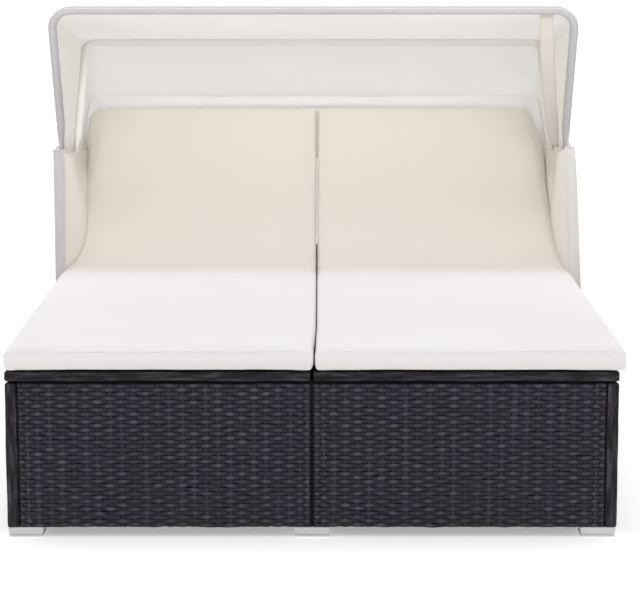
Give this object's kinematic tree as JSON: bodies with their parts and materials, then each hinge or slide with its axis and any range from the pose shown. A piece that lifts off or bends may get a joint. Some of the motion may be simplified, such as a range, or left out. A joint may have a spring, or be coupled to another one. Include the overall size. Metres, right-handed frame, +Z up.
{
  "type": "outdoor daybed with canopy",
  "caption": "Wide woven daybed for two with reclining backrests, cushions and a folding canopy that swings back on side pivots.",
  "frame": {"origin": "on the floor, under the middle of the whole object's bounding box", "axes": "+X to the right of someone facing the front, +Y from the foot end towards the canopy, +Z up"},
  "size_m": [1.3644, 2.0625, 1.0892],
  "materials": {
    "foot_cap": "light grey moulded foot, satin",
    "frame_steel": "black powder coat",
    "woven_rattan": "flat synthetic rattan strands, satin, woven",
    "wrapped_rattan": "synthetic rattan strands wrapped side by side, satin",
    "cushion_cover": "woven polyester, cream",
    "zinc_steel": "zinc plated",
    "bow_tube": "light grey powder coat",
    "canopy_cloth": "off-white woven polyester canopy cloth"
  },
  "bodies": {
    "base": {"foot_front_left": "foot_cap", "foot_front_center": "foot_cap", "foot_front_right": "foot_cap", "foot_rear_left": "foot_cap", "foot_rear_center": "foot_cap", "foot_rear_right": "foot_cap", "front_frame": "frame_steel", "rear_frame": "frame_steel", "side_frame_left": "frame_steel", "side_frame_right": "frame_steel", "center_beam": "frame_steel", "hinge_beam": "frame_steel", "front_panel_left": "woven_rattan", "rear_panel_left": "woven_rattan", "side_panel_left": "woven_rattan", "front_rim_left": "wrapped_rattan", "side_rim_left": "wrapped_rattan", "corner_post_front_left": "wrapped_rattan", "corner_post_rear_left": "wrapped_rattan", "seat_deck_left": "woven_rattan", "seat_cushion_left": "cushion_cover", "rack_rail_left_inner": "zinc_steel", "rack_rail_left_outer": "zinc_steel", "hinge_pin_left_inner": "zinc_steel", "hinge_pin_left_outer": "zinc_steel", "canopy_bracket_left": "frame_steel", "canopy_bolt_left": "zinc_steel", "lower_skirt_left": "canopy_cloth", "front_panel_right": "woven_rattan", "rear_panel_right": "woven_rattan", "side_panel_right": "woven_rattan", "front_rim_right": "wrapped_rattan", "side_rim_right": "wrapped_rattan", "corner_post_front_right": "wrapped_rattan", "corner_post_rear_right": "wrapped_rattan", "seat_deck_right": "woven_rattan", "seat_cushion_right": "cushion_cover", "rack_rail_right_inner": "zinc_steel", "rack_rail_right_outer": "zinc_steel", "hinge_pin_right_inner": "zinc_steel", "hinge_pin_right_outer": "zinc_steel", "canopy_bracket_right": "frame_steel", "canopy_bolt_right": "zinc_steel", "lower_skirt_right": "canopy_cloth", "rear_rim": "wrapped_rattan"},
    "backrest_left": {"back_frame_left": "frame_steel", "back_deck_left": "woven_rattan", "back_cushion_left": "cushion_cover"},
    "prop_left": {"prop_bar_left": "zinc_steel"},
    "backrest_right": {"back_frame_right": "frame_steel", "back_deck_right": "woven_rattan", "back_cushion_right": "cushion_cover"},
    "prop_right": {"prop_bar_right": "zinc_steel"},
    "rear_bow_body": {"rear_bow": "bow_tube"},
    "mid_bow_body": {"mid_bow": "bow_tube", "canopy_rear_section": "canopy_cloth"},
    "front_bow_body": {"front_bow": "bow_tube", "canopy_front_section": "canopy_cloth"}
  },
  "joints": [
    {"name": "backrest_left_recline", "type": "hinge", "parent": "base", "child": "backrest_left", "pos_m": [-0.315, 0.1728, 0.3375], "axis": [1, 0, 0], "range_deg": [-29.3, 15.7]},
    {"name": "prop_left_swing", "type": "hinge", "parent": "backrest_left", "child": "prop_left", "pos_m": [-0.315, 0.4693, 0.50389], "axis": [1, 0, 0], "range_deg": [-31.5, 58.7]},
    {"name": "backrest_right_recline", "type": "hinge", "parent": "base", "child": "backrest_right", "pos_m": [0.315, 0.1728, 0.3375], "axis": [1, 0, 0], "range_deg": [-29.3, 15.7]},
    {"name": "prop_right_swing", "type": "hinge", "parent": "backrest_right", "child": "prop_right", "pos_m": [0.315, 0.4693, 0.50389], "axis": [1, 0, 0], "range_deg": [-31.5, 58.7]},
    {"name": "rear_bow_swing", "type": "hinge", "parent": "base", "child": "rear_bow_body", "pos_m": [0, 0.4128, 0.5], "axis": [1, 0, 0], "range_deg": [-26.3, 0.5]},
    {"name": "mid_bow_swing", "type": "hinge", "parent": "rear_bow_body", "child": "mid_bow_body", "pos_m": [0, 0.4128, 0.5], "axis": [1, 0, 0], "range_deg": [-14.3, 0.5], "deforming": ["canopy_rear_section"]},
    {"name": "canopy_fold", "type": "hinge", "parent": "mid_bow_body", "child": "front_bow_body", "pos_m": [0, 0.4128, 0.5], "axis": [1, 0, 0], "range_deg": [-71.6, 0], "deforming": ["canopy_front_section"]}
  ],
  "couplings": [
    {"joint": "prop_left_swing", "follows": "backrest_left_recline", "ratio": -2},
    {"joint": "prop_right_swing", "follows": "backrest_right_recline", "ratio": -2},
    {"joint": "rear_bow_swing", "follows": "canopy_fold", "ratio": 0.36592},
    {"joint": "mid_bow_swing", "follows": "canopy_fold", "ratio": 0.19832}
  ]
}
